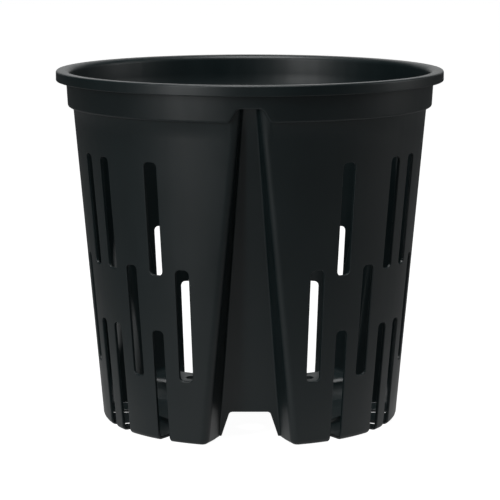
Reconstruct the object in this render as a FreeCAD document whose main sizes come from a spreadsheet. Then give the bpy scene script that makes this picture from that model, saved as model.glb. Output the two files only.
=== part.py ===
import FreeCAD, Part
import math
import os

import Sketcher

# A moulded plant pot: a tapered, slotted wall with three flared grooves and a ridged floor.
#
# Lengths are millimetres and angles are degrees. The axis of the pot is Z, its feet stand on
# z = 0 and the middle of one groove faces the front, which is -Y.
#
# The pot is shaped as its mould shapes it. The outer form is the pot as a full solid, and the
# core is the space inside it. Both come from the same sizes, the core with the wall taken off
# all round. The outer form with the core cut out is the shell, and the slots are cut in that.

SIZES = [
    # The tapered wall.
    ("base_radius", 84.7, "outside of the wall at the feet"),
    ("taper", 5.0, "slope of the wall away from upright"),
    ("wall", 1.8, "thickness of the wall"),
    ("wall_floor", 2.0, "thickness of the floor"),
    ("foot_edge", 2.1, "bevel on the outer corner under the wall"),
    # The collar and the turned-down rim.
    ("pot_height", 200.0, "feet to the top of the rim"),
    ("rim_radius", 110.0, "outside of the rim"),
    ("rim_drop", 5.8, "how far the rim turns down"),
    ("mouth_edge", 1.1, "bevel on the inner corner of the rim"),
    ("collar_height", 20.4, "underside of the collar to the top of the rim"),
    ("collar_step", 3.0, "how far the collar stands out from the wall"),
    ("collar_taper", 3.2, "slope of the collar away from upright"),
    # The arch in the collar over each groove.
    ("groove_count", 3, "grooves round the pot"),
    ("arch_rise", 7.4, "underside of the collar to the top of the arch"),
    ("arch_top_half", 6.6, "half the width of the arch at its top"),
    ("arch_foot_half", 10.6, "half the width of the arch at the underside of the collar"),
    ("arch_round", 3.0, "corners of the arch"),
    # The groove, whose back wall, flanks and bevelled lips are flat from the feet to the arch.
    ("groove_foot_back", 58.5, "axis to the back wall of the groove at the feet"),
    ("groove_foot_half", 17.0, "half the width of the back wall at the feet"),
    ("groove_top_back", 95.4, "axis to the back wall at the arch"),
    ("groove_top_half", 3.7, "half the width of the back wall at the arch"),
    ("groove_flank", 15.4, "angle at which a flank spreads from the middle of the groove"),
    ("lip_sink", 2.0, "depth of a bevelled lip, inwards from the wall"),
    ("lip_angle", 30.0, "angle between a bevelled lip and the back wall, seen from above"),
    ("lip_run", 12.0, "length of the cut along a lip, until it is clear of the wall"),
    # The hollow under the floor and the tunnel behind each groove.
    ("foot_inner_radius", 58.2, "inside of the ring that the pot stands on"),
    ("floor_rise", 3.2, "how far the floor inside the ring is raised"),
    ("tunnel_height", 14.4, "top of the tunnel"),
    ("tunnel_top_half", 11.2, "half the width of the tunnel at its top"),
    ("tunnel_foot_half", 16.8, "half the width of the tunnel at the feet"),
    ("tunnel_round", 2.0, "top corners of the tunnel"),
    ("drain_radius", 4.6, "drain hole in each ridge"),
    ("drain_centre", 38.0, "axis to the middle of a drain hole"),
    # The three rows of slots.
    ("slot_edge", 1.6, "bevel on the corners of a slot"),
    ("slot_margin", 23.2, "upper slots to the underside of the collar"),
    ("upper_slot_length", 62.2, "length of the upper slots"),
    ("upper_slot_half", 4.1, "half the width of an upper slot"),
    ("upper_pitch", 10.7, "angle between columns in the upper row"),
    ("upper_overlap", 4.0, "how far the middle slots reach up beside the upper ones"),
    ("lower_overlap", 27.3, "how far the middle slots reach down beside the lower ones"),
    ("middle_slot_half", 4.0, "half the width of a middle slot"),
    ("middle_pitch", 10.5, "angle between columns in the middle row"),
    ("lower_slot_top", 63.1, "upper end of the lower slots"),
    ("notch_radius", 70.5, "axis to the inner end of a lower slot, where it notches the floor"),
    ("lower_slot_half", 3.7, "half the width of a lower slot"),
    ("lower_pitch", 10.4, "angle between columns in the lower row"),
]

# Each row has four columns in the sector between two grooves. These are their places, counted in
# pitches from the middle of the sector.
OUTER_COLUMNS = (-3.5, -1.5, 1.5, 3.5)
INNER_COLUMNS = (-2.5, -0.5, 0.5, 2.5)

# Heights above the feet. The collar, the arches and the upper slots hang from the rim.
COLLAR_BOTTOM = "(Sizes.pot_height - Sizes.collar_height)"
ARCH_TOP = f"({COLLAR_BOTTOM} + Sizes.arch_rise)"
UPPER_SLOT_TOP = f"({COLLAR_BOTTOM} - Sizes.slot_margin)"
UPPER_SLOT_FOOT = f"({UPPER_SLOT_TOP} - Sizes.upper_slot_length)"
MIDDLE_SLOT_TOP = f"({UPPER_SLOT_FOOT} + Sizes.upper_overlap)"
MIDDLE_SLOT_FOOT = "(Sizes.lower_slot_top - Sizes.lower_overlap)"

# An arch in the collar is cut from here outwards, well inside the back wall of the groove.
ARCH_START = "(Sizes.groove_top_back / 2)"

# How far an edge may be from a surface and still count as lying on it.
TOUCH = 0.01


def make_sheet(doc):
    """The driving sizes, one to a row: a name, its value and what it measures."""
    sheet = doc.addObject("Spreadsheet::Sheet", "Sizes")
    for row, (name, value, meaning) in enumerate(SIZES, start=1):
        sheet.set(f"A{row}", name)
        sheet.set(f"B{row}", str(value))
        sheet.setAlias(f"B{row}", name)
        sheet.set(f"C{row}", meaning)
    doc.recompute()
    return sheet


def value_of(body, expression):
    return float(body.evalExpression(expression))


def wall_radius(height, skin):
    """Radius of the tapered wall at a height.

    In every function, skin is how far a form lies inside the outside of the pot: nothing for the
    outer form, and the wall's thickness for the core.
    """
    return f"(Sizes.base_radius + ({height}) * tan(Sizes.taper) - ({skin}) / cos(Sizes.taper))"


def collar_radius(height, skin):
    """Radius of the collar at a height."""
    foot = wall_radius(COLLAR_BOTTOM, "0")
    flare = f"(({height}) - {COLLAR_BOTTOM}) * tan(Sizes.collar_taper)"
    return f"({foot} + Sizes.collar_step + {flare} - ({skin}))"


def wider(slope, skin):
    """How much wider a sloping flank gets when it moves out by the skin, at one level."""
    return f"(({skin}) * sqrt(1 + ({slope}) ^ 2))"


def origin_feature(body, role):
    return next(feature for feature in body.Origin.OriginFeatures if feature.Role == role)


def make_body(doc, name):
    body = doc.addObject("PartDesign::Body", name)
    body.Label = name
    return body


def make_sketch(body, name, plane):
    sketch = body.newObject("Sketcher::SketchObject", name)
    sketch.AttachmentSupport = (origin_feature(body, plane), [""])
    sketch.MapMode = "FlatFace"
    return sketch


def bind(sketch, constraint, expression):
    """Adds a constraint and ties its value to the sheet."""
    index = sketch.addConstraint(constraint)
    sketch.setExpression(f"Constraints[{index}]", expression)


def draw_outline(sketch, corners):
    """Draws a closed outline of straight lines through corners that are given as expressions.

    A corner is (x, y), or (x, y, radius) where it is rounded.
    """
    axes = -1
    points = []
    for corner in corners:
        points.append(FreeCAD.Vector(*(value_of(sketch, text) for text in corner[:2])))
    lines = []
    for index, point in enumerate(points):
        following = points[(index + 1) % len(points)]
        lines.append(sketch.addGeometry(Part.LineSegment(point, following)))
    for index, corner in enumerate(corners):
        point = points[index]
        before, after = lines[index - 1], lines[index]
        if len(corner) == 2:
            sketch.addConstraint(Sketcher.Constraint("Coincident", before, 2, after, 1))
            geometry = after
        else:
            geometry = sketch.addGeometry(Part.Point(point), True)
            for line in (before, after):
                sketch.addConstraint(Sketcher.Constraint("PointOnObject", geometry, 1, line))
            neighbours = (points[index - 1], points[(index + 1) % len(points)])
            round_corner(sketch, point, neighbours, (before, after), corner[2])
        bind(sketch, Sketcher.Constraint("DistanceX", axes, 1, geometry, 1, point.x), corner[0])
        bind(sketch, Sketcher.Constraint("DistanceY", axes, 1, geometry, 1, point.y), corner[1])


def round_corner(sketch, corner, neighbours, lines, radius):
    """Joins the two lines that meet at a corner with an arc tangent to both."""
    size = value_of(sketch, radius)
    back = (neighbours[0] - corner).normalize()
    ahead = (neighbours[1] - corner).normalize()
    half_angle = back.getAngle(ahead) / 2
    bisector = (back + ahead).normalize()
    run = size / math.tan(half_angle)
    middle = corner + bisector * (size / math.sin(half_angle) - size)
    arc = sketch.addGeometry(Part.Arc(corner + back * run, middle, corner + ahead * run))
    turns_left = back.cross(ahead).z < 0
    first, last = (1, 2) if turns_left else (2, 1)
    sketch.addConstraint(Sketcher.Constraint("Tangent", lines[0], 2, arc, first))
    sketch.addConstraint(Sketcher.Constraint("Tangent", lines[1], 1, arc, last))
    bind(sketch, Sketcher.Constraint("Radius", arc, size), radius)


def draw_circle(sketch, y, radius):
    """Draws a circle with its middle on the sketch's upright axis, at y."""
    axes = -1
    upright_axis = -2
    centre = FreeCAD.Vector(0, value_of(sketch, y), 0)
    size = value_of(sketch, radius)
    circle = sketch.addGeometry(Part.Circle(centre, FreeCAD.Vector(0, 0, 1), size))
    sketch.addConstraint(Sketcher.Constraint("PointOnObject", circle, 3, upright_axis))
    bind(sketch, Sketcher.Constraint("DistanceY", axes, 1, circle, 3, centre.y), y)
    bind(sketch, Sketcher.Constraint("Radius", circle, size), radius)


def revolve(body, name, corners):
    """Turns a full solid from an outline of radii and heights."""
    sketch = make_sketch(body, f"{name}_outline", "XZ_Plane")
    draw_outline(sketch, corners)
    solid = body.newObject("PartDesign::Revolution", name)
    solid.Profile = sketch
    solid.ReferenceAxis = (sketch, ["V_Axis"])
    solid.Angle = 360
    return solid


def repeat_round(body, name, originals):
    """Repeats features at each groove, or in each sector between two grooves."""
    pattern = body.newObject("PartDesign::PolarPattern", name)
    pattern.Originals = originals
    pattern.Axis = (origin_feature(body, "Z_Axis"), [""])
    pattern.Angle = 360
    pattern.setExpression("Occurrences", "Sizes.groove_count")
    body.Tip = pattern
    return pattern


def cut_forward(body, name, corners, start, length):
    """Cuts an upright outline towards the front, from a distance in front of the axis."""
    sketch = make_sketch(body, f"{name}_outline", "XZ_Plane")
    draw_outline(sketch, corners)
    sketch.setExpression("AttachmentOffset.Base.z", start)
    cut = body.newObject("PartDesign::Pocket", name)
    cut.Profile = sketch
    cut.Reversed = True
    cut.setExpression("Length", length)
    return cut


def round_edges(body, name, radius, belongs):
    """Rounds the edges of the body's last shape for which belongs(edge) holds."""
    body.Document.recompute()
    base = body.Tip
    chosen = []
    for number, edge in enumerate(base.Shape.Edges, start=1):
        if belongs(edge):
            chosen.append(f"Edge{number}")
    fillet = body.newObject("PartDesign::Fillet", name)
    fillet.Base = (base, chosen)
    fillet.setExpression("Radius", radius)
    body.Tip = fillet
    return fillet


def groove_section(height, skin):
    """Corners of a groove's outline at a height: its back, its flanks, its lips and a way out.

    The flanks and the lips have the same directions at every height, so each of them is flat.
    """
    share = f"(({height}) / {ARCH_TOP})"
    narrowing = "(Sizes.groove_top_half - Sizes.groove_foot_half)"
    lean = "(Sizes.groove_top_back - Sizes.groove_foot_back)"
    half = f"(Sizes.groove_foot_half + {narrowing} * {share})"
    back = f"(Sizes.groove_foot_back + {lean} * {share})"
    flank = "Sizes.groove_flank"
    lip = "Sizes.lip_angle"

    outside = wall_radius(height, "0")
    beside = f"({half} * cos({flank}) - {back} * sin({flank}))"
    behind = f"({half} * sin({flank}) + {back} * cos({flank}))"
    run = f"(sqrt(({outside} - Sizes.lip_sink) ^ 2 - {beside} ^ 2) - {behind})"
    spread = f"({skin}) / (1 + sin({flank} + {lip}))"

    back_x = f"({half} + ({skin}) * (1 - sin({flank})) / cos({flank}))"
    back_y = f"({back} - ({skin}))"
    lip_x = f"({half} + {run} * sin({flank}) + {spread} * (cos({flank}) + sin({lip})))"
    lip_y = f"({back} + {run} * cos({flank}) - {spread} * (sin({flank}) + cos({lip})))"
    end_x = f"({lip_x} + Sizes.lip_run * cos({lip}))"
    end_y = f"({lip_y} + Sizes.lip_run * sin({lip}))"
    past_y = f"({outside} + Sizes.lip_run)"
    side = [(back_x, back_y), (lip_x, lip_y), (end_x, end_y), (end_x, past_y)]
    right = [(x, f"-{y}") for x, y in side]
    left = [(f"-{x}", f"-{y}") for x, y in reversed(side)]
    return right + left


def flat_solid(lower, upper):
    """A solid between two level outlines whose sides run parallel in pairs, so each face is flat."""
    outlines = [lower, upper]
    for index, corner in enumerate(lower):
        following = (index + 1) % len(lower)
        outlines.append([corner, lower[following], upper[following], upper[index]])
    faces = [Part.Face(Part.makePolygon([*outline, outline[0]])) for outline in outlines]
    return Part.Solid(Part.Shell(faces))


def make_grooves(doc, name, skin):
    """The space in each flared groove, wide and deep at the feet and narrow under its arch."""
    grooves = doc.addObject("Part::Feature", name)
    outlines = []
    for height in ("0", f"({ARCH_TOP} + {skin})"):
        level = value_of(grooves, height)
        corners = []
        for x, y in groove_section(height, skin):
            corners.append(FreeCAD.Vector(value_of(grooves, x), value_of(grooves, y), level))
        outlines.append(corners)
    groove = flat_solid(*outlines)
    count = int(value_of(grooves, "Sizes.groove_count"))
    middle = FreeCAD.Vector()
    upwards = FreeCAD.Vector(0, 0, 1)
    turned = [groove.rotated(middle, upwards, 360 / count * number) for number in range(count)]
    grooves.Shape = Part.Compound(turned)
    return grooves


def cut_tunnels(body, skin):
    """The tunnel behind each groove, which shows inside the pot as a ridge across its floor."""
    flank = "((Sizes.tunnel_foot_half - Sizes.tunnel_top_half) / Sizes.tunnel_height)"
    foot_half = f"(Sizes.tunnel_foot_half + {wider(flank, skin)})"
    top_half = f"(Sizes.tunnel_top_half - ({skin}) * {flank} + {wider(flank, skin)})"
    top = f"Sizes.tunnel_height + ({skin})"
    corner = f"Sizes.tunnel_round + ({skin})"
    lean = f"(Sizes.groove_top_back - Sizes.groove_foot_back) / {ARCH_TOP}"
    reach = f"Sizes.groove_foot_back + Sizes.tunnel_height * {lean} + Sizes.wall"
    tunnel = cut_forward(body, "tunnel", [
        (f"-{foot_half}", "0"),
        (f"-{top_half}", top, corner),
        (top_half, top, corner),
        (foot_half, "0"),
    ], "0", reach)
    repeat_round(body, "tunnels", [tunnel])


def shape_wall(body, skin, foot):
    """The tapered wall with its grooves and the floor, as a full solid up into the collar.

    The foot is the outline's lower corner, out to the wall, from the ring that the pot stands on.
    """
    floor = foot[0][1]
    rise = f"Sizes.floor_rise + ({floor})"
    ring = f"Sizes.foot_inner_radius + ({skin})"
    top = f"({ARCH_TOP} + Sizes.pot_height) / 2"
    revolve(body, "wall", [
        ("0", rise),
        (ring, rise),
        (ring, floor),
        *foot,
        (wall_radius(top, skin), top),
        ("0", top),
    ])
    grooves = make_grooves(body.Document, f"{body.Name}_groove_space", skin)
    combine(body, "grooves", "Cut", grooves)
    cut_tunnels(body, skin)


def cut_arches(body, skin):
    """An arch in the collar over each groove."""
    flank = "((Sizes.arch_foot_half - Sizes.arch_top_half) / Sizes.arch_rise)"
    below = "Sizes.wall"
    foot_half = f"(Sizes.arch_foot_half + {below} * {flank} + {wider(flank, skin)})"
    top_half = f"(Sizes.arch_top_half - ({skin}) * {flank} + {wider(flank, skin)})"
    top = f"{ARCH_TOP} + ({skin})"
    corner = f"Sizes.arch_round + ({skin})"
    arch = cut_forward(body, "arch", [
        (f"-{foot_half}", f"{COLLAR_BOTTOM} - {below}"),
        (f"-{top_half}", top, corner),
        (top_half, top, corner),
        (foot_half, f"{COLLAR_BOTTOM} - {below}"),
    ], ARCH_START, "Sizes.rim_radius")
    repeat_round(body, "arches", [arch])


def shape_collar(body):
    """The collar and the turned-down rim, as a full disc with an arch over each groove."""
    lip_inside = "Sizes.rim_radius - Sizes.wall"
    under_rim = "Sizes.pot_height - Sizes.wall"
    rim_foot = "Sizes.pot_height - Sizes.rim_drop"
    revolve(body, "collar", [
        ("0", COLLAR_BOTTOM),
        (collar_radius(COLLAR_BOTTOM, "0"), COLLAR_BOTTOM),
        (collar_radius(under_rim, "0"), under_rim),
        (lip_inside, under_rim),
        (lip_inside, rim_foot),
        ("Sizes.rim_radius", rim_foot),
        ("Sizes.rim_radius", "Sizes.pot_height"),
        ("0", "Sizes.pot_height"),
    ])
    cut_arches(body, "0")
    underside = value_of(body, COLLAR_BOTTOM)
    arch_start = value_of(body, ARCH_START)

    def is_arch_foot(edge):
        middle = edge.valueAt((edge.FirstParameter + edge.LastParameter) / 2)
        radius = math.hypot(middle.x, middle.y)
        level = all(abs(vertex.Z - underside) < TOUCH for vertex in edge.Vertexes)
        return level and isinstance(edge.Curve, Part.Line) and radius > arch_start + TOUCH

    round_edges(body, "arch_feet", "Sizes.arch_round", is_arch_foot)


def shape_core_collar(body):
    """The space inside the collar, one wall thinner, and up past the rim."""
    foot = f"{COLLAR_BOTTOM} + Sizes.wall"
    bevel = "Sizes.pot_height - Sizes.mouth_edge"
    past = "Sizes.pot_height + Sizes.wall"
    mouth = f"({collar_radius(bevel, 'Sizes.wall')} + Sizes.mouth_edge)"
    revolve(body, "core_collar", [
        ("0", foot),
        (collar_radius(foot, "Sizes.wall"), foot),
        (collar_radius(bevel, "Sizes.wall"), bevel),
        (mouth, "Sizes.pot_height"),
        (mouth, past),
        ("0", past),
    ])
    cut_arches(body, "Sizes.wall")


def combine(body, name, kind, tool):
    joined = body.newObject("PartDesign::Boolean", name)
    joined.setObjects([tool])
    joined.Type = kind
    body.Tip = joined
    body.Document.recompute()
    return joined


def slot(body, name, half, foot, top, azimuth):
    """One upright slot with bevelled corners, cut outwards through the wall.

    The azimuth is counted from the front, towards +X.
    """
    inside = "Sizes.notch_radius"
    edge = "Sizes.slot_edge"
    sketch = make_sketch(body, f"{name}_outline", "XZ_Plane")
    draw_outline(sketch, [
        (f"-{half}", f"{foot} + {edge}"),
        (f"-{half}", f"{top} - {edge}"),
        (f"-{half} + {edge}", top),
        (f"{half} - {edge}", top),
        (half, f"{top} - {edge}"),
        (half, f"{foot} + {edge}"),
        (f"{half} - {edge}", foot),
        (f"-{half} + {edge}", foot),
    ])
    turn = FreeCAD.Rotation(FreeCAD.Vector(0, 1, 0), value_of(sketch, azimuth))
    sketch.AttachmentOffset = FreeCAD.Placement(FreeCAD.Vector(), turn)
    sketch.setExpression("AttachmentOffset.Rotation.Angle", azimuth)
    sketch.setExpression("AttachmentOffset.Base.x", f"{inside} * sin({azimuth})")
    sketch.setExpression("AttachmentOffset.Base.z", f"{inside} * cos({azimuth})")
    cut = body.newObject("PartDesign::Pocket", name)
    cut.Profile = sketch
    cut.Reversed = True
    cut.setExpression("Length", "Sizes.rim_radius / 2")
    return cut


def cut_slots(body):
    """Three rows of slots: the upper and lower share columns, the middle row lies between.

    The lower slots run on under the pot and notch the ring that it stands on.
    """
    cuts = []
    for row, columns, foot, top in (
        ("upper", INNER_COLUMNS, UPPER_SLOT_FOOT, UPPER_SLOT_TOP),
        ("middle", OUTER_COLUMNS, MIDDLE_SLOT_FOOT, MIDDLE_SLOT_TOP),
        ("lower", INNER_COLUMNS, "-2 * Sizes.slot_edge", "Sizes.lower_slot_top"),
    ):
        for number, column in enumerate(columns, start=1):
            half = f"Sizes.{row}_slot_half"
            azimuth = f"(180 / Sizes.groove_count + {column} * Sizes.{row}_pitch)"
            cuts.append(slot(body, f"{row}_slot_{number}", half, foot, top, azimuth))
    repeat_round(body, "slots", cuts)


def cut_drains(body):
    """A round drain hole through each ridge of the floor."""
    sketch = make_sketch(body, "drain_outline", "XY_Plane")
    draw_circle(sketch, "-Sizes.drain_centre", "Sizes.drain_radius")
    drain = body.newObject("PartDesign::Pocket", "drain")
    drain.Profile = sketch
    drain.Reversed = True
    drain.setExpression("Length", "Sizes.tunnel_height + 2 * Sizes.wall")
    repeat_round(body, "drains", [drain])


def make_pot(doc):
    """The outer form, with the core cut out of it, and then its slots and drain holes."""
    core_foot = [(wall_radius("Sizes.wall_floor", "Sizes.wall"), "Sizes.wall_floor")]
    pot_foot = [
        (f"({wall_radius('0', '0')} - Sizes.foot_edge)", "0"),
        (wall_radius("Sizes.foot_edge", "0"), "Sizes.foot_edge"),
    ]

    core_rim = make_body(doc, "core_rim")
    shape_core_collar(core_rim)
    core = make_body(doc, "core")
    shape_wall(core, "Sizes.wall", core_foot)
    combine(core, "whole_core", "Fuse", core_rim)

    rim = make_body(doc, "rim")
    shape_collar(rim)
    pot = make_body(doc, "pot")
    shape_wall(pot, "0", pot_foot)
    combine(pot, "outer_form", "Fuse", rim)
    combine(pot, "shell", "Cut", core)
    cut_slots(pot)
    cut_drains(pot)
    return pot


def check(doc, pot):
    for thing in doc.Objects:
        if "Invalid" in thing.State or "Error" in thing.State:
            raise RuntimeError(f"{thing.Name} did not build: {thing.State}")
    if pot.Shape.isNull() or not pot.Shape.isValid() or len(pot.Shape.Solids) != 1:
        raise RuntimeError("the pot is not one sound solid")


doc = FreeCAD.newDocument("plant_pot")
make_sheet(doc)
pot = make_pot(doc)
doc.recompute()
check(doc, pot)
os.makedirs("parts", exist_ok=True)
pot.Shape.exportStep(f"parts/{pot.Label}.step")
print(f"pot: volume {pot.Shape.Volume / 1000:.1f} cm3, box {pot.Shape.BoundBox}")
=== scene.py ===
from collections import namedtuple
from math import atan2, cos, pi, radians, sin, sqrt, tan

import bmesh
import bpy
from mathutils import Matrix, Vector


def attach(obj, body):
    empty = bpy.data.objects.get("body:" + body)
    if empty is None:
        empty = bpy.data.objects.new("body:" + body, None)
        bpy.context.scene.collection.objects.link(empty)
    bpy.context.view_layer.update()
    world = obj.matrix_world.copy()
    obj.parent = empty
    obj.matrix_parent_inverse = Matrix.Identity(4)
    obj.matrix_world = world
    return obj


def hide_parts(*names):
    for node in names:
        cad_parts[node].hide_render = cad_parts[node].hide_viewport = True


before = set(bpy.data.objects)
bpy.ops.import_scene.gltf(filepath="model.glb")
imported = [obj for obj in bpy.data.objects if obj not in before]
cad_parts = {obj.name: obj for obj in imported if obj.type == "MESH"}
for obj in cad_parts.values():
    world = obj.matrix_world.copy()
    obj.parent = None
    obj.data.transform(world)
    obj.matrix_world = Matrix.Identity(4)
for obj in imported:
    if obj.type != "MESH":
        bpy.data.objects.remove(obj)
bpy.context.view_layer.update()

# The pot is one moulding in black plastic, equally thick all over. Its outer skin is drawn first,
# as a sheet that is one sixth of the pot: from the middle of a groove to the middle of the wall
# between two grooves. Places on a level line are (aside, forward), measured from the pot's axis.

WALL = 0.0018
BASE_RADIUS = 0.0847
TAPER = radians(5.0)
COLLAR_BOTTOM = 0.1796
ARCH_TOP = 0.187


def wall_radius(height):
    """Outside of the tapered wall."""
    return BASE_RADIUS + height * tan(TAPER)


def arc(centre, radius, start, end, steps):
    """Points along an arc from one angle to another, with both ends."""
    angles = [start + (end - start) * step / steps for step in range(steps + 1)]
    return [centre + radius * Vector((cos(angle), sin(angle))) for angle in angles]


def turned(azimuth, aside, ahead):
    """The place that lies ahead and aside as seen along an azimuth."""
    return Vector((
        ahead * sin(azimuth) + aside * cos(azimuth),
        ahead * cos(azimuth) - aside * sin(azimuth),
    ))


def around(azimuth, radius, aside=0.0):
    """The place on a circle that lies aside from an azimuth."""
    return turned(azimuth, aside, sqrt(radius ** 2 - aside ** 2))


def raised(place, height):
    """A place on the level line at a height, in the pot's own space."""
    return Vector((place.x, -place.y, height))


sheet = bmesh.new()
sheet_points = {}


def face(*corners):
    """Adds a face to the sheet. Faces that meet at a place share its vertex."""
    verts = []
    for corner in corners:
        key = tuple(round(value, 7) for value in corner)
        if key not in sheet_points:
            sheet_points[key] = sheet.verts.new(corner)
        if sheet_points[key] not in verts:
            verts.append(sheet_points[key])
    if len(verts) > 2:
        sheet.faces.new(verts)


def strip(first, second, skipped=()):
    """Joins two lines of points with a row of four-sided faces."""
    for number in range(len(first) - 1):
        if number not in skipped:
            face(first[number], first[number + 1], second[number + 1], second[number])


# The groove is a flared channel with a flat, leaning back wall. Its flanks are flat too. The mould
# gives it a small radius at the root and a wide one at the lip, where it meets the wall.

GROOVE_FOOT_BACK = 0.0585
GROOVE_FOOT_HALF = 0.017
GROOVE_TOP_BACK = 0.0954
GROOVE_TOP_HALF = 0.0037
FLANK_ANGLE = radians(15.4)
GROOVE_ROOT = 0.0016
GROOVE_LIP = 0.0042
ROOT_STEPS = 4
LIP_STEPS = 9

TUNNEL_HEIGHT = 0.0144
TUNNEL_TOP_HALF = 0.0112
TUNNEL_FOOT_HALF = 0.0158


def groove_corner(height):
    """Where the back wall and a flank would meet without their root radius."""
    share = height / ARCH_TOP
    half = GROOVE_FOOT_HALF + (GROOVE_TOP_HALF - GROOVE_FOOT_HALF) * share
    back = GROOVE_FOOT_BACK + (GROOVE_TOP_BACK - GROOVE_FOOT_BACK) * share
    return Vector((half, back))


def tunnel_half(height):
    """Half the width of the tunnel that runs in through the back wall."""
    return TUNNEL_FOOT_HALF - (TUNNEL_FOOT_HALF - TUNNEL_TOP_HALF) * height / TUNNEL_HEIGHT


def groove_line(height):
    """A level line along the back wall, round the root, up the flank and round the lip."""
    corner = groove_corner(height)
    root = GROOVE_ROOT
    if height < TUNNEL_HEIGHT:
        root = min(root, (corner.x - tunnel_half(height)) / 2)
    run = root * tan((pi / 2 - FLANK_ANGLE) / 2)
    line = [Vector((0, corner.y))]
    line += arc(corner + Vector((-run, root)), root, -pi / 2, -FLANK_ANGLE, ROOT_STEPS)

    outwards = Vector((sin(FLANK_ANGLE), cos(FLANK_ANGLE)))
    across = Vector((cos(FLANK_ANGLE), -sin(FLANK_ANGLE)))
    start = corner + across * GROOVE_LIP
    along = start.dot(outwards)
    lip_circle = wall_radius(height) - GROOVE_LIP
    reach = sqrt(along ** 2 - start.length_squared + lip_circle ** 2) - along
    middle = start + outwards * reach
    line += arc(middle, GROOVE_LIP, pi - FLANK_ANGLE, atan2(middle.y, middle.x), LIP_STEPS)
    return line


# The slots are cut by blades in the mould, so their sides are square to the wall and their corners
# are round. Lower and upper slots share columns, and the middle slots stand between those. Each
# column has a strip of the sheet, with a margin round its slots.

SlotRow = namedtuple("SlotRow", "foot top half pitch")
upper_row = SlotRow(foot=0.0942, top=0.1564, half=0.0041, pitch=radians(10.7))
middle_row = SlotRow(foot=0.0358, top=0.0982, half=0.0040, pitch=radians(10.5))
lower_row = SlotRow(foot=0.0, top=0.0631, half=0.0037, pitch=radians(10.4))
SLOT_ROUND = 0.0025
SLOT_MARGIN = 0.002
MID_SECTOR = radians(60)
STRIP_PITCHES = (3.5, 2.5, 1.5, 0.5)
STRIP_ENDS = [radians(angle) for angle in (28.5, 39.0, 49.5, 60.0)]
GAP_SHARES = (0.05, 0.11, 0.17, 0.36, 0.66)


def slot_place(number, height):
    """Azimuth and half the width of the slot in a strip. Every other strip has middle slots."""
    pitches = STRIP_PITCHES[number]
    if number % 2 == 0:
        return MID_SECTOR - pitches * middle_row.pitch, middle_row.half
    low = lower_row.top + SLOT_MARGIN
    high = upper_row.foot - SLOT_MARGIN
    share = min(max((height - low) / (high - low), 0), 1)
    pitch = lower_row.pitch + (upper_row.pitch - lower_row.pitch) * share
    half = lower_row.half + (upper_row.half - lower_row.half) * share
    return MID_SECTOR - pitches * pitch, half


def slot_asides(half):
    """Places of a strip's lines from the middle of its slot: margin, side and corner."""
    right = (half - SLOT_ROUND, half, half + SLOT_MARGIN)
    return [-aside for aside in reversed(right)] + list(right)


def level_line(height):
    """The whole level line at a height, from the middle of a groove to mid-sector."""
    radius = wall_radius(height)
    slots = []
    for number, end in enumerate(STRIP_ENDS):
        azimuth, half = slot_place(number, height)
        slots += [around(azimuth, radius, aside) for aside in slot_asides(half)]
        slots.append(around(end, radius))
    line = groove_line(height)
    lip = atan2(line[-1].x, line[-1].y)
    gap = atan2(slots[0].x, slots[0].y) - lip
    line += [around(lip + gap * share, radius) for share in GAP_SHARES]
    return line + slots


STRIP_LINES = 7
RIGHT_MARGIN = 5
CUT_LINES = (1, 2, 3)
FIRST_SLOT = len(groove_line(0)) + len(GAP_SHARES)
strip_starts = [FIRST_SLOT + STRIP_LINES * number for number in range(len(STRIP_ENDS))]

BACK_WALL_FOOT = 0.020
PLAIN_LEVELS = (0.048, 0.079, 0.125, 0.170)
levels = [0.0, BACK_WALL_FOOT, *PLAIN_LEVELS]
for row in (upper_row, middle_row):
    levels += [row.foot - SLOT_MARGIN, row.foot, row.foot + SLOT_ROUND]
for row in (upper_row, middle_row, lower_row):
    levels += [row.top - SLOT_ROUND, row.top, row.top + SLOT_MARGIN]
levels.sort()
grid = [[raised(place, height) for place in level_line(height)] for height in levels]


def level_at(height):
    """Number of the level line at a height."""
    return min(range(len(levels)), key=lambda number: abs(levels[number] - height))


def edge_slot(number, row):
    """Fills the margin round a slot of a strip, and rounds its corners."""
    start = strip_starts[number]
    closed = row.foot > 0
    low = level_at(row.foot - SLOT_MARGIN) if closed else 0
    high = level_at(row.top + SLOT_MARGIN)
    straight = row.half - SLOT_ROUND
    sides = []
    for side, line, inwards in ((-1, start, 1), (1, start + RIGHT_MARGIN, -1)):
        route = [(level, line) for level in range(low, high + 1)]
        route += [(high, line + inwards), (high, line + 2 * inwards)]
        if closed:
            route = [(low, line + 2 * inwards), (low, line + inwards)] + route
        below = [stop for stop in route if closed and stop[0] < level_at(row.foot + SLOT_ROUND)]
        above = [stop for stop in route if stop[0] > level_at(row.top - SLOT_ROUND)]
        pairs = []
        for level, column in route:
            outside = grid[level][column]
            if (level, column) in below:
                turn = pi / 2 * below.index((level, column)) / len(below)
                aside = straight + SLOT_ROUND * sin(turn)
                height = row.foot + SLOT_ROUND * (1 - cos(turn))
            elif (level, column) in above:
                turn = pi / 2 * (above.index((level, column)) + 1) / len(above)
                aside = straight + SLOT_ROUND * cos(turn)
                height = row.top - SLOT_ROUND * (1 - sin(turn))
            else:
                pairs.append((outside, grid[level][line + inwards]))
                continue
            azimuth, half = slot_place(number, height)
            spot = around(azimuth, wall_radius(height), side * aside)
            pairs.append((outside, raised(spot, height)))
        sides.append(pairs)
        for (outer, inner), (next_outer, next_inner) in zip(pairs, pairs[1:]):
            face(outer, next_outer, next_inner, inner)
    ends = (0, -1) if closed else (-1,)
    for end in ends:
        left, right = sides[0][end], sides[1][end]
        face(left[0], right[0], right[1], left[1])
    columns = range(start, start + RIGHT_MARGIN)
    return [(level, column) for level in range(low, high) for column in columns]


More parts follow.
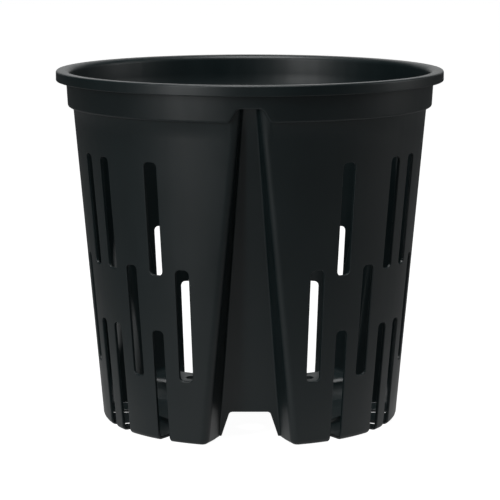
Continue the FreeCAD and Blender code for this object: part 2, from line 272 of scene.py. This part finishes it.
taken = []
for number in range(len(STRIP_ENDS)):
    for row in ((middle_row,), (lower_row, upper_row))[number % 2]:
        taken += edge_slot(number, row)
taken += [(level, 0) for level in range(level_at(BACK_WALL_FOOT))]
for level in range(len(levels) - 1):
    skipped = [column for row, column in taken if row == level]
    strip(grid[level], grid[level + 1], skipped)


# The collar is a step out in the wall, with an arch in it over each groove. The wall's points close
# in on its edge in a few rounds. Over it the rim turns out and down, and the sheet follows the
# rim's underside, because the thickness goes on above it.

COLLAR_STEP = 0.003
COLLAR_TAPER = radians(3.2)
ARCH_TOP_HALF = 0.0066
ARCH_FOOT_HALF = 0.0106
ARCH_ROUND = 0.003
ARCH_CLEAR = 0.0125
CLOSING_ROUNDS = 12
COLLAR_MIDDLE = 0.189
POT_HEIGHT = 0.200
RIM_RADIUS = 0.110
RIM_DROP = 0.0058


def collar_radius(height):
    """Outside of the collar."""
    foot = wall_radius(COLLAR_BOTTOM) + COLLAR_STEP
    return foot + (height - COLLAR_BOTTOM) * tan(COLLAR_TAPER)


def collar_edge_height(aside):
    """Height of the collar's lower edge, up and over the arch."""
    slope = (ARCH_TOP - COLLAR_BOTTOM) / (ARCH_FOOT_HALF - ARCH_TOP_HALF)
    lean = atan2(1, slope)
    run = ARCH_ROUND * tan((pi / 2 - lean) / 2)
    top_middle = ARCH_TOP_HALF - run
    foot_middle = ARCH_FOOT_HALF + run
    reach = ARCH_ROUND * cos(lean)
    if aside <= top_middle:
        return ARCH_TOP
    if aside <= top_middle + reach:
        return ARCH_TOP - ARCH_ROUND + sqrt(ARCH_ROUND ** 2 - (aside - top_middle) ** 2)
    if aside < foot_middle - reach:
        return ARCH_TOP - (aside - ARCH_TOP_HALF) * slope
    if aside < foot_middle:
        return COLLAR_BOTTOM + ARCH_ROUND - sqrt(ARCH_ROUND ** 2 - (aside - foot_middle) ** 2)
    return COLLAR_BOTTOM


wall_top = []
for column in range(len(grid[0])):
    height = COLLAR_BOTTOM
    for closing_round in range(CLOSING_ROUNDS):
        spot = level_line(height)[column]
        height = collar_edge_height(spot.x)
    wall_top.append(raised(spot, height))
strip(grid[-1], wall_top)

collar_edge = []
for spot in wall_top:
    radius = collar_radius(spot.z)
    if spot.x < ARCH_CLEAR:
        place = Vector((spot.x, sqrt(radius ** 2 - spot.x ** 2)))
    else:
        place = around(atan2(spot.x, -spot.y), radius)
    collar_edge.append(raised(place, spot.z))
strip(wall_top, collar_edge)

under_rim = POT_HEIGHT - WALL
inside_rim = RIM_RADIUS - WALL
line = collar_edge
for height, radius in (
    (COLLAR_MIDDLE, collar_radius(COLLAR_MIDDLE)),
    (under_rim, collar_radius(under_rim)),
    (under_rim, inside_rim),
    (POT_HEIGHT - RIM_DROP, inside_rim),
):
    above = [raised(around(atan2(spot.x, -spot.y), radius), height) for spot in collar_edge]
    strip(line, above)
    line = above


# The floor is a ring that the pot stands on, with a raised disc inside it and a tunnel from each
# groove to the middle, which shows inside as a ridge. Each ridge has a drain hole. The lower slots
# run on under the pot and notch the ring.

FOOT_INNER_RADIUS = 0.0582
FLOOR_RISE = 0.0032
TUNNEL_ROUND = 0.002
TUNNEL_STEPS = 4
NOTCH_RADIUS = 0.0705
DRAIN_RADIUS = 0.0046
DRAIN_CENTRE = 0.038
DRAIN_STEPS = 16

lean = atan2(TUNNEL_FOOT_HALF - TUNNEL_TOP_HALF, TUNNEL_HEIGHT)
corner_run = TUNNEL_ROUND * tan((pi / 2 - lean) / 2)
corner_middle = Vector((TUNNEL_TOP_HALF - corner_run, TUNNEL_HEIGHT - TUNNEL_ROUND))
tunnel_outline = arc(corner_middle, TUNNEL_ROUND, pi / 2, lean, TUNNEL_STEPS)
tunnel_outline.append(Vector((tunnel_half(FLOOR_RISE), FLOOR_RISE)))
at_groove = [Vector((spot.x, -groove_corner(spot.y).y, spot.y)) for spot in tunnel_outline]
at_middle = [Vector((spot.x, -spot.x / tan(MID_SECTOR), spot.y)) for spot in tunnel_outline]
groove_foot = Vector((TUNNEL_FOOT_HALF, -GROOVE_FOOT_BACK, 0))


def on_foot_circle(aside, height):
    return Vector((aside, -sqrt(FOOT_INNER_RADIUS ** 2 - aside ** 2), height))


step_foot = on_foot_circle(TUNNEL_FOOT_HALF, 0)
step_top = on_foot_circle(tunnel_half(FLOOR_RISE), FLOOR_RISE)
strip(at_groove[:-1], at_middle[:-1])
face(at_groove[-2], at_groove[-1], step_top, at_middle[-1], at_middle[-2])
face(at_groove[-1], groove_foot, step_foot, step_top)

back_top = Vector((0, -groove_corner(TUNNEL_HEIGHT).y, TUNNEL_HEIGHT))
back_wall_level = level_at(BACK_WALL_FOOT)
root_line = [grid[level][1] for level in range(back_wall_level + 1)]
face(*root_line, grid[back_wall_level][0], back_top, *at_groove, groove_foot)

drain_middle = Vector((0, DRAIN_CENTRE))
drain = arc(drain_middle, DRAIN_RADIUS, -pi / 2, pi / 2, DRAIN_STEPS)
drain_edge = [raised(spot, TUNNEL_HEIGHT) for spot in drain]
middle = Vector((0, 0, TUNNEL_HEIGHT))
face(back_top, at_groove[0], at_middle[0], middle, *drain_edge)

notch_line = []
for number, end in enumerate(STRIP_ENDS):
    azimuth, half = slot_place(number, 0)
    for aside in slot_asides(half):
        notch_line.append(raised(turned(azimuth, aside, NOTCH_RADIUS), 0))
    notch_line.append(raised(around(end, NOTCH_RADIUS), 0))
notches = []
for start in strip_starts[1::2]:
    notches += [start - FIRST_SLOT + line for line in CUT_LINES]
step_line = []
floor_line = []
for spot in notch_line:
    place = around(atan2(spot.x, -spot.y), FOOT_INNER_RADIUS)
    step_line.append(raised(place, 0))
    floor_line.append(raised(place, FLOOR_RISE))
strip(grid[0][FIRST_SLOT:], notch_line, notches)
strip(notch_line, step_line)
strip([step_foot] + step_line, [step_top] + floor_line)
face(*grid[0][1:FIRST_SLOT + 1], notch_line[0], step_line[0], step_foot, groove_foot)
face(at_middle[-1], step_top, *floor_line)

sixth_mesh = bpy.data.meshes.new("pot_sixth")
sheet.to_mesh(sixth_mesh)
sheet.free()
sixth = bpy.data.objects.new("pot_sixth", sixth_mesh)
bpy.context.scene.collection.objects.link(sixth)

# The plastic is near-black polypropylene with a satin skin. The mould leaves a fine orange peel and
# paler flow marks that run up the wall, and handling dulls it in patches.

PLASTIC_DARK = (0.0016, 0.0062, 0.0070, 1)
PLASTIC_PALE = (0.0050, 0.0120, 0.0136, 1)
PLASTIC_IOR = 1.49
FLOW_STRETCH = 0.05
FLOW_SCALE = 160
FLOW_WEIGHT = 0.4
PATCH_SCALE = 24
PEEL_SCALE = 900
PEEL_DEPTH = 0.00006


def add_node(tree, kind, inputs=None, **settings):
    """A new node of a tree, with its settings and the values of its unlinked inputs."""
    node = tree.nodes.new(kind)
    for name, value in settings.items():
        setattr(node, name, value)
    for socket, value in (inputs or {}).items():
        node.inputs[socket].default_value = value
    return node


def link_nodes(tree, *links):
    """Links outputs to inputs. A socket goes by its name, or by its number where names repeat."""
    for source, output, target, socket in links:
        tree.links.new(source.outputs[output], target.inputs[socket])


COLOUR_A, COLOUR_B, COLOUR_RESULT = 6, 7, 2
plastic = bpy.data.materials.new("black_plastic")
plastic.use_nodes = True
skin = plastic.node_tree
shader = skin.nodes["Principled BSDF"]
shader.inputs["IOR"].default_value = PLASTIC_IOR
place = add_node(skin, "ShaderNodeTexCoord")
upright = add_node(skin, "ShaderNodeMapping", {"Scale": (1, 1, FLOW_STRETCH)})
flow = add_node(skin, "ShaderNodeTexNoise", {"Scale": FLOW_SCALE, "Detail": 3})
patches = add_node(skin, "ShaderNodeTexNoise", {"Scale": PATCH_SCALE, "Detail": 4})
peel = add_node(skin, "ShaderNodeTexNoise", {"Scale": PEEL_SCALE, "Detail": 2})
marks = add_node(skin, "ShaderNodeMath", {1: FLOW_WEIGHT}, operation="MULTIPLY_ADD")
colours = {COLOUR_A: PLASTIC_DARK, COLOUR_B: PLASTIC_PALE}
tint = add_node(skin, "ShaderNodeMix", colours, data_type="RGBA")
dulling = {"From Min": 0.4, "From Max": 1.0, "To Min": 0.36, "To Max": 0.5}
dulled = add_node(skin, "ShaderNodeMapRange", dulling)
grain = add_node(skin, "ShaderNodeBump", {"Strength": 0.18, "Distance": PEEL_DEPTH})
link_nodes(
    skin,
    (place, "Object", upright, "Vector"),
    (upright, "Vector", flow, "Vector"),
    (place, "Object", patches, "Vector"),
    (place, "Object", peel, "Vector"),
    (flow, "Fac", marks, 0),
    (patches, "Fac", marks, 2),
    (marks, "Value", tint, "Factor"),
    (marks, "Value", dulled, "Value"),
    (tint, COLOUR_RESULT, shader, "Base Color"),
    (dulled, "Result", shader, "Roughness"),
    (peel, "Fac", grain, "Height"),
    (grain, "Normal", shader, "Normal"),
)


# The mould repeats the sheet all round: mirrored in the middle of a groove, and once for each of
# the three grooves. The copies are welded where they meet.

GROOVES = 3
WELD = 0.00001

tree = bpy.data.node_groups.new("pot_from_sixth", "GeometryNodeTree")
given_sockets = {}
for name, kind in (
    ("Sixth", "NodeSocketGeometry"),
    ("Grooves", "NodeSocketInt"),
    ("Weld", "NodeSocketFloat"),
    ("Plastic", "NodeSocketMaterial"),
):
    given_sockets[name] = tree.interface.new_socket(name, in_out="INPUT", socket_type=kind).identifier
tree.interface.new_socket("Pot", in_out="OUTPUT", socket_type="NodeSocketGeometry")
given = add_node(tree, "NodeGroupInput")
mirrored = add_node(tree, "GeometryNodeTransform", {"Scale": (-1, 1, 1)})
flipped = add_node(tree, "GeometryNodeFlipFaces")
sector = add_node(tree, "GeometryNodeJoinGeometry")
places = add_node(tree, "GeometryNodePoints")
number = add_node(tree, "GeometryNodeInputIndex")
share = add_node(tree, "ShaderNodeMath", operation="DIVIDE")
turn = add_node(tree, "ShaderNodeMath", {1: 2 * pi}, operation="MULTIPLY")
about_axis = add_node(tree, "ShaderNodeCombineXYZ")
copies = add_node(tree, "GeometryNodeInstanceOnPoints")
real_copies = add_node(tree, "GeometryNodeRealizeInstances")
welded = add_node(tree, "GeometryNodeMergeByDistance")
coloured = add_node(tree, "GeometryNodeSetMaterial")
result = add_node(tree, "NodeGroupOutput")
link_nodes(
    tree,
    (given, "Sixth", mirrored, "Geometry"),
    (mirrored, "Geometry", flipped, "Mesh"),
    (given, "Sixth", sector, "Geometry"),
    (flipped, "Mesh", sector, "Geometry"),
    (given, "Grooves", places, "Count"),
    (number, "Index", share, 0),
    (given, "Grooves", share, 1),
    (share, "Value", turn, 0),
    (turn, "Value", about_axis, "Z"),
    (places, "Points", copies, "Points"),
    (sector, "Geometry", copies, "Instance"),
    (about_axis, "Vector", copies, "Rotation"),
    (copies, "Instances", real_copies, "Geometry"),
    (real_copies, "Geometry", welded, "Geometry"),
    (given, "Weld", welded, "Distance"),
    (welded, "Geometry", coloured, "Geometry"),
    (given, "Plastic", coloured, "Material"),
    (coloured, "Geometry", result, "Pot"),
)
sixth_mesh.materials.append(plastic)
repeat = sixth.modifiers.new("all_round", "NODES")
repeat.node_group = tree
repeat[given_sockets["Grooves"]] = GROOVES
repeat[given_sockets["Weld"]] = WELD
repeat[given_sockets["Plastic"]] = plastic
graph = bpy.context.evaluated_depsgraph_get()
pot_mesh = bpy.data.meshes.new_from_object(sixth.evaluated_get(graph))
bpy.data.objects.remove(sixth)

# The sheet is turned to face outwards and gets its wall on the inside. Then the outward edges get
# the radii that a moulding has: wide at the mouth and the foot, less at the lip, under the rim and
# at the collar, and small elsewhere.

MOUTH_ROUND = 0.0030
LIP_EDGE_ROUND = 0.0012
UNDER_RIM_ROUND = 0.0010
FOOT_ROUND = 0.0028
COLLAR_ROUND = 0.0012
EDGE_ROUND = 0.00045
EDGE_STEPS = 4
SHARP = radians(32)
NEAR = 0.0004
FOOT_REACH = 0.0045

outside = bmesh.new()
outside.from_mesh(pot_mesh)
bmesh.ops.recalc_face_normals(outside, faces=outside.faces)
lowest = min(outside.faces, key=lambda each: each.calc_center_median().z)
if lowest.normal.z > 0:
    bmesh.ops.reverse_faces(outside, faces=outside.faces)
outside.to_mesh(pot_mesh)
outside.free()

pot = bpy.data.objects.new("moulded_pot", pot_mesh)
bpy.context.scene.collection.objects.link(pot)
wall = pot.modifiers.new("wall", "SOLIDIFY")
wall.thickness = WALL
wall.offset = -1
wall.solidify_mode = "NON_MANIFOLD"
wall.nonmanifold_thickness_mode = "CONSTRAINTS"
graph = bpy.context.evaluated_depsgraph_get()
walled = bmesh.new()
walled.from_mesh(bpy.data.meshes.new_from_object(pot.evaluated_get(graph)))
pot.modifiers.remove(wall)


def at_mouth(radius, height):
    return height > POT_HEIGHT - NEAR and radius < collar_radius(POT_HEIGHT)


def at_lip(radius, height):
    return height > POT_HEIGHT - NEAR and radius > RIM_RADIUS - NEAR


def under_rim_corner(radius, height):
    return abs(height - under_rim) < NEAR and abs(radius - collar_radius(under_rim)) < NEAR


def at_collar_foot(radius, height):
    return COLLAR_BOTTOM - NEAR < height < ARCH_TOP + NEAR and radius > collar_radius(height) - NEAR


def at_foot(radius, height):
    return height < NEAR and radius > BASE_RADIUS - FOOT_REACH


def anywhere(radius, height):
    return True


for round_radius, lies_there in (
    (MOUTH_ROUND, at_mouth),
    (LIP_EDGE_ROUND, at_lip),
    (UNDER_RIM_ROUND, under_rim_corner),
    (COLLAR_ROUND, at_collar_foot),
    (FOOT_ROUND, at_foot),
    (EDGE_ROUND, anywhere),
):
    sharp = []
    for edge in walled.edges:
        spot = (edge.verts[0].co + edge.verts[1].co) / 2
        outwards = edge.is_convex or lies_there is under_rim_corner
        if outwards and edge.calc_face_angle() > SHARP and lies_there(spot.xy.length, spot.z):
            sharp.append(edge)
    bmesh.ops.bevel(walled, geom=sharp, offset=round_radius, segments=EDGE_STEPS, profile=0.5,
                    affect="EDGES", clamp_overlap=False)
walled.to_mesh(pot_mesh)
walled.free()
pot_mesh.shade_smooth()
shading = pot.modifiers.new("shading", "WEIGHTED_NORMAL")
shading.keep_sharp = True
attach(pot, "root")
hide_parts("pot")


# The pot stands on white paper in a dark studio with a white wall behind. The camera sees paper and
# wall as pure white, apart from the pot's shadow. The gloss sees the wall, and a pool of light
# painted on the paper round the pot, which glows only in reflections.

PAPER_HALF = 6.0
PAPER_GREY = 0.26
PAPER_GLOW = 0.975
# Painted pool of light: the paper glows round the pot, and only the pot's reflections see it.
PAINTED_POOL_GLOW = 0.36
PAINTED_POOL_INSIDE, PAINTED_POOL_OUTSIDE = 0.10, 0.28
ROOM_DARK = 0.04
ROOM_WHITE = 0.9
WALL_MIDDLE = (0, 0.94, 0.34)
WALL_STARTS, WALL_FULL = 0.84, 0.96


def nearness(tree, inside, outside, strength):
    """Is the strength within one distance of the pot's axis, and fades to nothing at another."""
    spot = add_node(tree, "ShaderNodeTexCoord")
    distance = add_node(tree, "ShaderNodeVectorMath", operation="LENGTH")
    limits = {"From Min": inside, "From Max": outside, "To Min": strength, "To Max": 0}
    near = add_node(tree, "ShaderNodeMapRange", limits)
    link_nodes(tree, (spot, "Object", distance, 0), (distance, "Value", near, "Value"))
    return near


def seen_ray(tree):
    """Is 1 for a ray straight from the camera, or through glass."""
    light_path = add_node(tree, "ShaderNodeLightPath")
    seen = add_node(tree, "ShaderNodeMath", operation="MAXIMUM")
    link_nodes(
        tree,
        (light_path, "Is Camera Ray", seen, 0),
        (light_path, "Is Transmission Ray", seen, 1),
    )
    return light_path, seen


paper_mesh = bpy.data.meshes.new("paper")
corners = [(x * PAPER_HALF, y * PAPER_HALF, 0) for x, y in ((-1, -1), (1, -1), (1, 1), (-1, 1))]
paper_mesh.from_pydata(corners, [], [range(4)])
paper = bpy.data.objects.new("paper", paper_mesh)
bpy.context.scene.collection.objects.link(paper)
white = bpy.data.materials.new("white_paper")
white.use_nodes = True
paper_mesh.materials.append(white)
surface = white.node_tree
paper_shader = surface.nodes["Principled BSDF"]
paper_shader.inputs["Base Color"].default_value = (PAPER_GREY, PAPER_GREY, PAPER_GREY, 1)
paper_shader.inputs["Roughness"].default_value = 1
paper_shader.inputs["Specular IOR Level"].default_value = 0
paper_shader.inputs["Emission Color"].default_value = (1, 1, 1, 1)
light_path, seen = seen_ray(surface)
glow = add_node(surface, "ShaderNodeMath", {1: PAPER_GLOW}, operation="MULTIPLY")
# Painted pool of light on the paper near the pot, seen only by glossy rays.
painted_pool = add_node(surface, "ShaderNodeMath", operation="MULTIPLY")
glow_and_painted_pool = add_node(surface, "ShaderNodeMath", operation="ADD")
link_nodes(
    surface,
    (seen, "Value", glow, 0),
    (light_path, "Is Glossy Ray", painted_pool, 0),
    (nearness(surface, PAINTED_POOL_INSIDE, PAINTED_POOL_OUTSIDE, PAINTED_POOL_GLOW), "Result", painted_pool, 1),
    (glow, "Value", glow_and_painted_pool, 0),
    (painted_pool, "Value", glow_and_painted_pool, 1),
    (glow_and_painted_pool, "Value", paper_shader, "Emission Strength"),
)

world = bpy.data.worlds.new("studio")
bpy.context.scene.world = world
world.use_nodes = True
room = world.node_tree
room.nodes["Background"].inputs["Color"].default_value = (1, 1, 1, 1)
direction = add_node(room, "ShaderNodeTexCoord")
towards = add_node(room, "ShaderNodeVectorMath", {1: WALL_MIDDLE}, operation="DOT_PRODUCT")
fade = {"From Min": WALL_STARTS, "From Max": WALL_FULL, "To Min": ROOM_DARK, "To Max": ROOM_WHITE}
white_wall = add_node(room, "ShaderNodeMapRange", fade)
light_path, seen = seen_ray(room)
either = add_node(room, "ShaderNodeMath", operation="MAXIMUM")
link_nodes(
    room,
    (direction, "Generated", towards, 0),
    (towards, "Value", white_wall, "Value"),
    (white_wall, "Result", either, 0),
    (seen, "Value", either, 1),
    (either, "Value", room.nodes["Background"], "Strength"),
)

# A tall soft strip stands in front on the left, a window on the right, and a large soft lamp hangs
# over the pot. The strip gives the upright highlights on the lip and the inside of the wall.


def add_lamp(name, place, size, power):
    """A soft lamp that faces the middle of the pot."""
    lamp = bpy.data.lights.new(name, "AREA")
    lamp.shape = "RECTANGLE"
    lamp.size, lamp.size_y = size
    lamp.energy = power
    holder = bpy.data.objects.new(name, lamp)
    bpy.context.scene.collection.objects.link(holder)
    holder.location = place
    middle_of_pot = Vector((0, 0, POT_HEIGHT / 2))
    holder.rotation_euler = (middle_of_pot - Vector(place)).to_track_quat("-Z", "Y").to_euler()


add_lamp("left_strip", (-1.0, -1.25, 0.55), (0.25, 1.1), 10)
add_lamp("right_window", (1.5, 0.15, 0.6), (0.5, 0.9), 4)
add_lamp("top_lamp", (-0.1, -0.2, 1.5), (0.9, 0.9), 16)

# The camera stands about 1.3 m in front of the pot, a little above it, and looks slightly down on
# it. Its long lens is given as a focal length in pixels of the finished picture.

CAMERA_PLACE = (0.0001, -1.2744, 0.3033)
CAMERA_DIP = radians(9.26)
SENSOR_WIDTH = 36
FOCAL_PIXELS = 2241
PICTURE_PIXELS = 500

camera_data = bpy.data.cameras.new("camera")
camera_data.sensor_width = SENSOR_WIDTH
camera_data.lens = SENSOR_WIDTH * FOCAL_PIXELS / PICTURE_PIXELS
camera_data.clip_end = 20
camera = bpy.data.objects.new("camera", camera_data)
bpy.context.scene.collection.objects.link(camera)
camera.location = CAMERA_PLACE
camera.rotation_euler = (pi / 2 - CAMERA_DIP, 0, 0)
bpy.context.scene.camera = camera
bpy.context.scene.view_settings.view_transform = "Standard"
